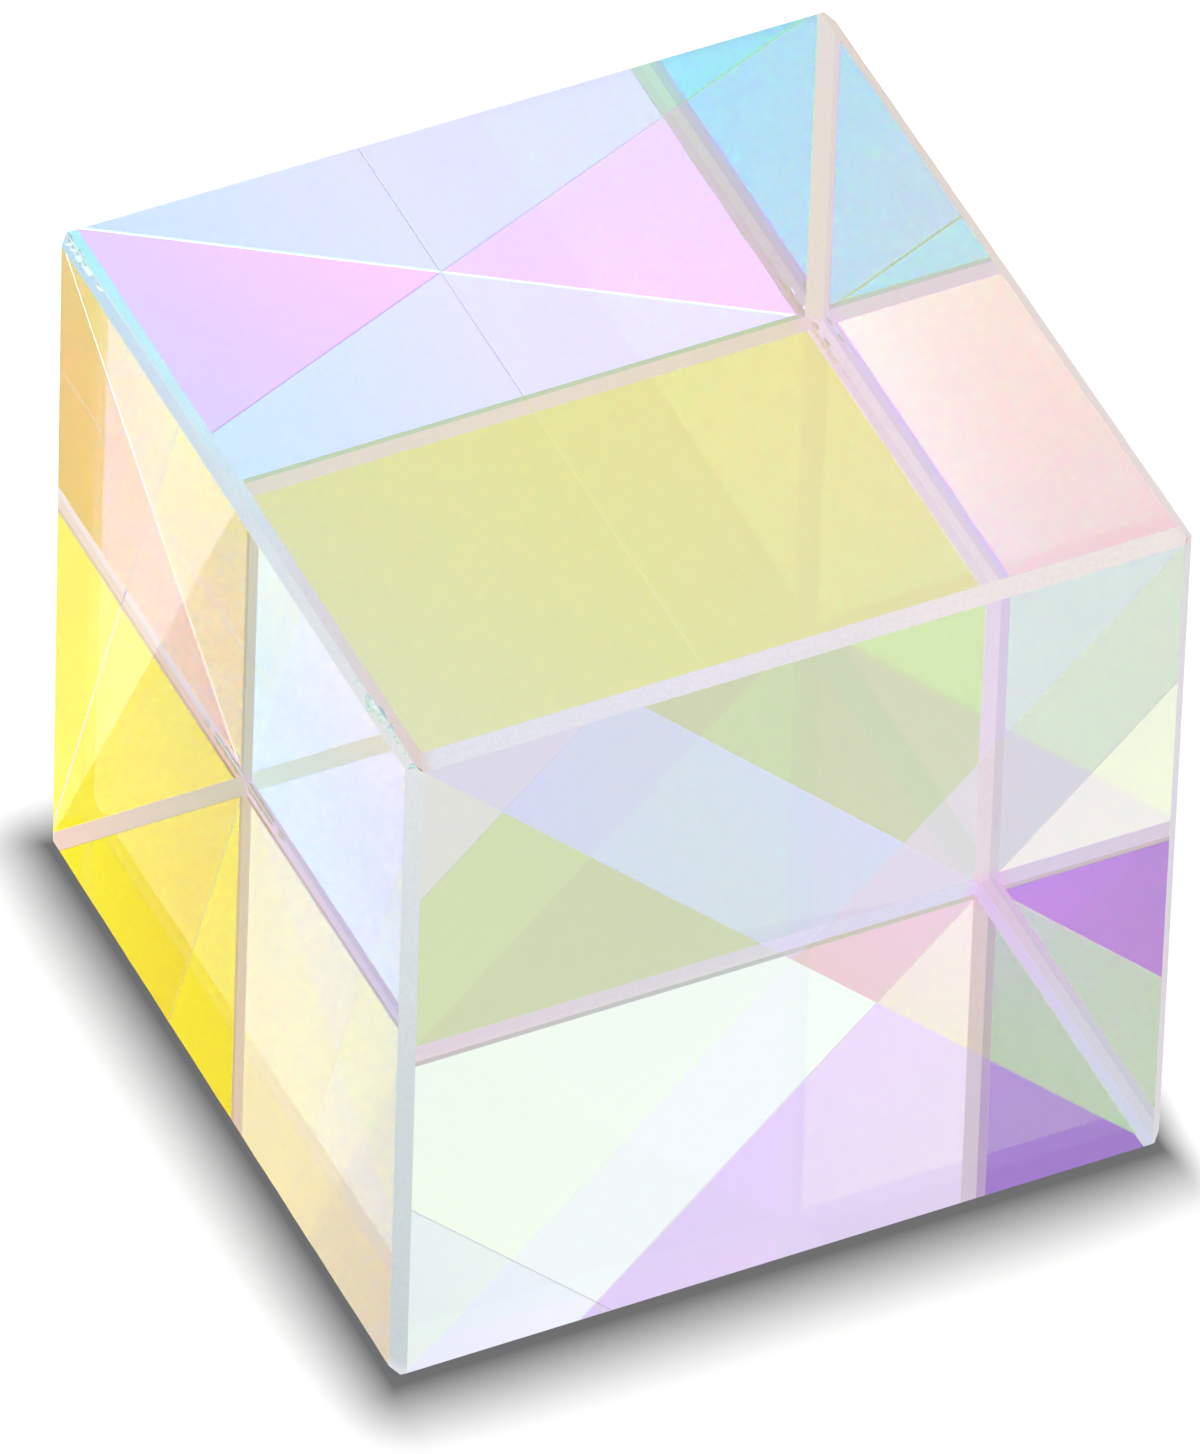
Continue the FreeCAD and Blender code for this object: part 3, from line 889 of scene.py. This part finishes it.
def build_world():
    """White studio whose brightness changes softly by direction, and plain white to the camera."""
    world = bpy.data.worlds.new("studio")
    world.use_nodes = True
    bpy.context.scene.world = world
    # Not sampled as a lamp, like the floor: the light comes through glass, where that only costs time.
    world.cycles.sampling_method = "NONE"
    tree = world.node_tree
    tree.nodes.clear()
    output = tree.nodes.new("ShaderNodeOutputWorld")
    background = tree.nodes.new("ShaderNodeBackground")
    background.inputs["Color"].default_value = (1, 1, 1, 1)
    coords = tree.nodes.new("ShaderNodeTexCoord")
    light = None
    for name, direction, radiance in STUDIO_LOBES:
        cosine = add_dot(tree, coords.outputs["Generated"], Vector(direction).normalized())
        edge = add_span(tree, cosine, math.cos(LOBE_BORDER), math.cos(LOBE_CORE), smooth=True)
        edge.node.label = name
        blend = tree.nodes.new("ShaderNodeMix")
        tree.links.new(edge, blend.inputs["Factor"])
        if light is None:
            blend.inputs["A"].default_value = STUDIO_ELSEWHERE
        else:
            tree.links.new(light, blend.inputs["A"])
        blend.inputs["B"].default_value = radiance
        light = blend.outputs["Result"]
    rays = tree.nodes.new("ShaderNodeLightPath")
    seen = tree.nodes.new("ShaderNodeMix")
    tree.links.new(rays.outputs["Is Camera Ray"], seen.inputs["Factor"])
    tree.links.new(light, seen.inputs["A"])
    seen.inputs["B"].default_value = 1.0
    tree.links.new(seen.outputs["Result"], background.inputs["Strength"])
    tree.links.new(background.outputs["Background"], output.inputs["Surface"])


def add_floor_through_glass(tree):
    """How bright the floor is to light that comes out of the glass, by place round the cube."""
    coords = tree.nodes.new("ShaderNodeTexCoord")
    x = add_dot(tree, coords.outputs["Object"], (1, 0, 0))
    y = add_dot(tree, coords.outputs["Object"], (0, 1, 0))
    sideways = add_math(tree, "GREATER_THAN", add_math(tree, "ABSOLUTE", x), add_math(tree, "ABSOLUTE", y))
    outside = add_math(tree, "GREATER_THAN", add_math(
        tree, "MAXIMUM", add_math(tree, "ABSOLUTE", x), add_math(tree, "ABSOLUTE", y)), HALF)

    def choose(test, otherwise, then):
        """One value where the test is 0 and another where it is 1."""
        node = tree.nodes.new("ShaderNodeMix")
        tree.links.new(test, node.inputs["Factor"])
        for socket, source in ((node.inputs["A"], otherwise), (node.inputs["B"], then)):
            if isinstance(source, float):
                socket.default_value = source
            else:
                tree.links.new(source, socket)
        return node.outputs["Result"]

    light = FLOOR_THROUGH_GLASS
    spread = add_math(tree, "SQRT", add_math(
        tree, "ADD", add_math(tree, "POWER", x, 2.0), add_math(tree, "POWER", y, 2.0)))
    far_off = add_span(tree, spread, FLOOR_NEARER_THAN, FLOOR_FURTHER_THAN, smooth=True)
    beside_x = choose(add_math(tree, "GREATER_THAN", x, 0.0), light["left"], light["right"])
    beside_y = choose(add_math(tree, "GREATER_THAN", y, 0.0), light["front"], light["back"])
    around = choose(outside, light["beneath"], choose(sideways, beside_y, beside_x))
    return choose(far_off, around, FLOOR_FAR_OFF)


def add_contact_shade(tree):
    """Soft contact shade on the paper, which reaches further in front than behind.

    It falls from the cube's foot with the distance to it, which counts more to the right and
    less to the front, so the shade leans to the front left.
    """
    coords = tree.nodes.new("ShaderNodeTexCoord")

    def beyond(direction, weight):
        """Weighted distance past the cube's side that faces this way."""
        place = add_dot(tree, coords.outputs["Object"], [part * weight for part in direction])
        return add_math(tree, "SUBTRACT", place, HALF * weight)

    weights = SHADE_WEIGHTS
    left, right = beyond((-1, 0, 0), weights["left"]), beyond((1, 0, 0), weights["right"])
    front, back = beyond((0, -1, 0), weights["front"]), beyond((0, 1, 0), weights["back"])
    parts = [add_math(tree, "MAXIMUM", add_math(tree, "MAXIMUM", *pair), 0.0)
             for pair in ((left, right), (front, back))]
    squares = [add_math(tree, "POWER", part, 2.0) for part in parts]
    distance = add_math(tree, "SQRT", add_math(tree, "ADD", squares[0], squares[1]))
    return add_math(tree, "POWER", add_span(tree, distance, SHADE_REACH, 0.0), SHADE_FALL)


def build_floor(settings):
    """A large pale sheet under the cube.

    The camera sees the paper with its contact shade and a glow that makes it white. Light from
    the glass meets a strength that depends on the place instead.
    """
    reach, height = 1.5, -0.02 * MM
    mesh = bpy.data.meshes.new("floor")
    corners = [(-reach, -reach), (reach, -reach), (reach, reach), (-reach, reach)]
    mesh.from_pydata([(x, y, height) for x, y in corners], [], [(0, 1, 2, 3)])
    floor = bpy.data.objects.new("floor", mesh)
    bpy.context.scene.collection.objects.link(floor)
    material, tree, output = node_tree("white_paper")
    paper = tree.nodes.new("ShaderNodeBsdfDiffuse")
    rays = tree.nodes.new("ShaderNodeLightPath")
    shade = add_contact_shade(tree)
    paper_colour = tree.nodes.new("ShaderNodeMix")
    paper_colour.data_type = "RGBA"
    tree.links.new(shade, paper_colour.inputs["Factor"])
    paper_colour.inputs["A"].default_value = (*settings.paper, 1)
    paper_colour.inputs["B"].default_value = (*settings.shade, 1)
    tree.links.new(paper_colour.outputs["Result"], paper.inputs["Color"])
    glow = tree.nodes.new("ShaderNodeEmission")
    lit = add_math(tree, "SUBTRACT", 1.0, add_math(tree, "MULTIPLY", shade, GLOW_LOST_IN_SHADE))
    seen_glow = add_math(tree, "MULTIPLY", rays.outputs["Is Camera Ray"], PAPER_GLOW)
    tree.links.new(add_math(tree, "MULTIPLY", seen_glow, lit), glow.inputs["Strength"])
    both = tree.nodes.new("ShaderNodeAddShader")
    tree.links.new(paper.outputs["BSDF"], both.inputs[0])
    tree.links.new(glow.outputs["Emission"], both.inputs[1])
    through = tree.nodes.new("ShaderNodeEmission")
    clear = add_math(tree, "SUBTRACT", 1.0, rays.outputs["Is Diffuse Ray"])
    scattered = add_math(tree, "MULTIPLY", rays.outputs["Is Diffuse Ray"], FLOOR_TO_SCATTERED_RAYS)
    direct = add_math(tree, "MULTIPLY", clear, add_floor_through_glass(tree))
    tree.links.new(add_math(tree, "ADD", scattered, direct), through.inputs["Strength"])
    unseen = add_math(tree, "SUBTRACT", 1.0, rays.outputs["Is Camera Ray"])
    mix = add_shader_mix(tree, unseen, both.outputs["Shader"], through.outputs["Emission"])
    tree.links.new(mix, output.inputs["Surface"])
    material.cycles.emission_sampling = "NONE"
    mesh.materials.append(material)


def build_camera(settings):
    """The photograph's view, from above the cube's front left.

    The camera looks from its place to its aim, level at first, and is then rolled about that line.
    """
    camera = bpy.data.objects.new("camera", bpy.data.cameras.new("camera"))
    bpy.context.scene.collection.objects.link(camera)
    bpy.context.scene.camera = camera
    camera.data.sensor_width = 36
    camera.data.lens = settings.focal_length
    camera.data.clip_start = 0.05
    camera.data.clip_end = 20
    place = Vector(settings.camera_place)
    ahead = (Vector(settings.camera_aim) - place).normalized()
    level = ahead.cross(Vector((0, 0, 1))).normalized()
    right = Matrix.Rotation(settings.camera_roll, 3, ahead) @ level
    up = right.cross(ahead)
    turn = Matrix((right, up, -ahead)).transposed()
    camera.matrix_world = Matrix.Translation(place) @ turn.to_4x4()


class PRISM_OT_studio(bpy.types.Operator):
    """Set up the floor, the light and the camera"""

    bl_idname = "prism.studio"
    bl_label = "Studio"

    def execute(self, context):
        scene = context.scene
        scene.view_settings.view_transform = "Standard"
        scene.cycles.max_bounces = BOUNCES_IN_GLASS
        scene.cycles.glossy_bounces = BOUNCES_IN_GLASS
        scene.cycles.transmission_bounces = BOUNCES_IN_GLASS
        scene.cycles.transparent_max_bounces = JOINT_FACES_PASSED
        build_world()
        build_floor(scene.prism_studio)
        build_camera(scene.prism_studio)
        if scene.camera is None:
            raise RuntimeError("The studio has no camera")
        return {"FINISHED"}


class PRISM_PT_panel(bpy.types.Panel):
    """Lists the steps that build the prism, each below its sizes and colours"""

    bl_label = "Cross prism"
    bl_idname = "PRISM_PT_panel"
    bl_space_type = "VIEW_3D"
    bl_region_type = "UI"
    bl_category = "Prism"

    def draw(self, context):
        for step, groups in STEPS.items():
            box = self.layout.box()
            for group in groups:
                settings = getattr(context.scene, group)
                for name in SETTINGS[group].__annotations__:
                    box.prop(settings, name)
            box.operator(step.bl_idname)


SETTINGS = {
    "prism_sizes": PrismSettings,
    "prism_whole_coating": WholeCoatingSettings,
    "prism_halves_coating": HalvesCoatingSettings,
    "prism_studio": StudioSettings,
}
STEPS = {
    PRISM_OT_glass: ("prism_sizes",),
    PRISM_OT_coatings: ("prism_whole_coating", "prism_halves_coating"),
    PRISM_OT_cement: (),
    PRISM_OT_studio: ("prism_studio",),
}
CLASSES = (*SETTINGS.values(), *STEPS, PRISM_PT_panel)


def register():
    """Makes the settings, the steps and the panel known to Blender."""
    for cls in CLASSES:
        bpy.utils.register_class(cls)
    for name, group in SETTINGS.items():
        setattr(bpy.types.Scene, name, PointerProperty(type=group))


def unregister():
    """Takes them away again."""
    for name in SETTINGS:
        delattr(bpy.types.Scene, name)
    for cls in reversed(CLASSES):
        bpy.utils.unregister_class(cls)


def main():
    """Builds the prism step by step."""
    register()
    bpy.ops.prism.glass()
    bpy.ops.prism.coatings()
    bpy.ops.prism.cement()
    bpy.ops.prism.studio()
    bpy.context.view_layer.update()


if __name__ == "__main__":
    main()
